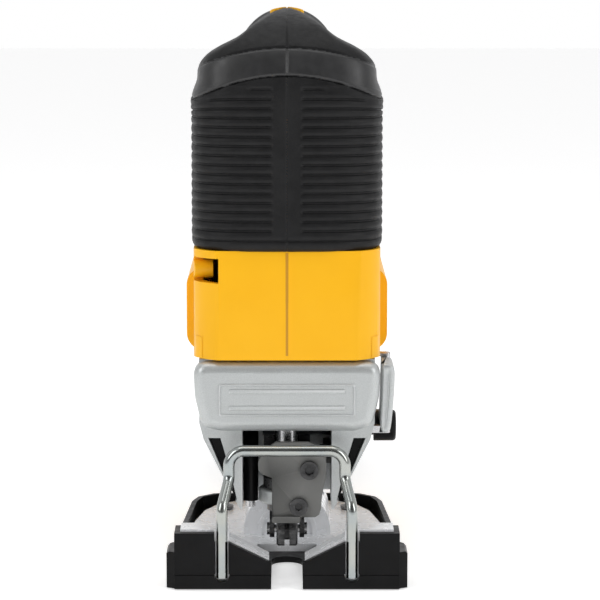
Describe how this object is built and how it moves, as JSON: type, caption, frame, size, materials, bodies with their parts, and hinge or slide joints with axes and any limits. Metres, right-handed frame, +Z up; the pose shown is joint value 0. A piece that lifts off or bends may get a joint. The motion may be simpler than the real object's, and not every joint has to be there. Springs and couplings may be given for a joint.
{
  "type": "cordless jigsaw",
  "caption": "Top-handle cordless jigsaw with a tilting shoe, wire finger guard, side blade lever, orbital knob, D-shaped handle and slide-on battery.",
  "frame": {"origin": "on the flat sole, on the tool's middle plane, midway along the sole", "axes": "+Z up from the sole; -Y towards the front, the way the saw cuts; +X towards the tool's left side, where the blade lever and orbital knob are"},
  "size_m": [0.0858, 0.266, 0.2029],
  "materials": {
    "cast_metal": "satin silver",
    "plate_metal": "satin",
    "guard_wire": "zinc plated",
    "steel": "ground",
    "dark_steel": "blackened",
    "shell_colour": "amber, fine texture",
    "black_plastic": "fine texture",
    "grip_rubber": "soft touch",
    "bronze": "sintered",
    "brass": "turned",
    "felt": "felt",
    "copper": "enamelled",
    "board": "printed board",
    "lead_red": "insulation",
    "cell_wrap": "shrink sleeve",
    "carbon": "pressed carbon"
  },
  "bodies": {
    "shoe": {"shoe_plate": "plate_metal", "overshoe": "black_plastic", "finger_guard": "guard_wire", "shoe_screws": "dark_steel"},
    "body": {"gear_case": "cast_metal", "case_lid": "plate_metal", "front_cover": "cast_metal", "cover_screws": "dark_steel", "housing_left": "shell_colour", "housing_right": "shell_colour", "grip_left": "grip_rubber", "grip_right": "grip_rubber", "housing_screws": "dark_steel", "guide_plate": "cast_metal", "guide_screws": "dark_steel", "blower_tube": "black_plastic", "blower_tip": "brass", "bush_lower": "bronze", "bush_upper": "bronze", "felt_seal": "felt", "fork_pin": "steel", "gear_shaft": "steel", "bearing_front": "steel", "bearing_rear": "steel", "field_can": "steel", "motor_cradle": "black_plastic", "brushes": "carbon", "lever_pin": "steel", "bevel_bolt": "dark_steel", "switch": "black_plastic", "controller": "board", "leads": "lead_red", "pack_contacts": "brass"},
    "rotor": {"rotor": "copper"},
    "gear": {"drive_gear": "steel"},
    "plunger": {"plunger": "steel", "crank_roller": "steel", "clamp_body": "dark_steel", "clamp_spring": "steel"},
    "collar": {"clamp_collar": "cast_metal"},
    "lever": {"blade_lever": "cast_metal"},
    "selector": {"orbit_selector": "black_plastic"},
    "fork": {"orbit_fork": "dark_steel", "roller_pin": "steel"},
    "roller": {"guide_roller": "dark_steel"},
    "bevel_lever": {"bevel_lever": "black_plastic"},
    "trigger": {"trigger": "black_plastic"},
    "lock_button": {"lock_button": "black_plastic"},
    "battery": {"pack_upper": "black_plastic", "pack_lower": "black_plastic", "pack_cells": "cell_wrap", "pack_terminals": "brass"},
    "latch": {"pack_latch": "shell_colour"}
  },
  "joints": [
    {"name": "bevel_tilt", "type": "hinge", "parent": "shoe", "child": "body", "pos_m": [0, 0, 0.006], "axis": [0, 1, 0], "range_deg": [-45, 45]},
    {"name": "rotor_spin", "type": "hinge", "parent": "body", "child": "rotor", "pos_m": [0, 0, 0.1045], "axis": [0, 1, 0], "continuous": true},
    {"name": "gear_spin", "type": "hinge", "parent": "body", "child": "gear", "pos_m": [0, 0, 0.0845], "axis": [0, 1, 0], "continuous": true},
    {"name": "plunger_stroke", "type": "slide", "parent": "body", "child": "plunger", "axis": [0, 0, 1], "range_m": [0, 0.023]},
    {"name": "collar_turn", "type": "hinge", "parent": "plunger", "child": "collar", "pos_m": [0, -0.0345, 0], "axis": [0, 0, 1], "range_deg": [0, 30]},
    {"name": "lever_swing", "type": "hinge", "parent": "body", "child": "lever", "pos_m": [0.0362, -0.0285, 0], "axis": [0, 0, 1], "range_deg": [0, 60]},
    {"name": "selector_turn", "type": "hinge", "parent": "body", "child": "selector", "pos_m": [0, -0.02, 0.0509], "axis": [1, 0, 0], "range_deg": [-90, 0]},
    {"name": "fork_swing", "type": "hinge", "parent": "body", "child": "fork", "pos_m": [0, -0.0125, 0.0565], "axis": [1, 0, 0], "range_deg": [-2.5, 0]},
    {"name": "roller_spin", "type": "hinge", "parent": "fork", "child": "roller", "pos_m": [0, -0.0244, 0.013], "axis": [1, 0, 0], "continuous": true},
    {"name": "bevel_lever_turn", "type": "hinge", "parent": "body", "child": "bevel_lever", "pos_m": [0, 0.032, 0.0358], "axis": [0, 0, 1], "range_deg": [0, 35]},
    {"name": "trigger_pull", "type": "slide", "parent": "body", "child": "trigger", "axis": [0, 0, 1], "range_m": [0, 0.005], "stiffness_N_per_m": 400, "springref_m": -0.002},
    {"name": "lock_slide", "type": "slide", "parent": "body", "child": "lock_button", "axis": [1, 0, 0], "range_m": [0, 0.003]},
    {"name": "battery_slide", "type": "slide", "parent": "body", "child": "battery", "axis": [0, 1, 0], "range_m": [0, 0.11]},
    {"name": "latch_press", "type": "slide", "parent": "battery", "child": "latch", "axis": [0, 0, -1], "range_m": [0, 0.0025], "stiffness_N_per_m": 400, "springref_m": -0.002}
  ],
  "couplings": [
    {"joint": "gear_spin", "follows": "rotor_spin", "ratio": -0.29032},
    {"joint": "collar_turn", "follows": "lever_swing", "ratio": 0.5}
  ]
}
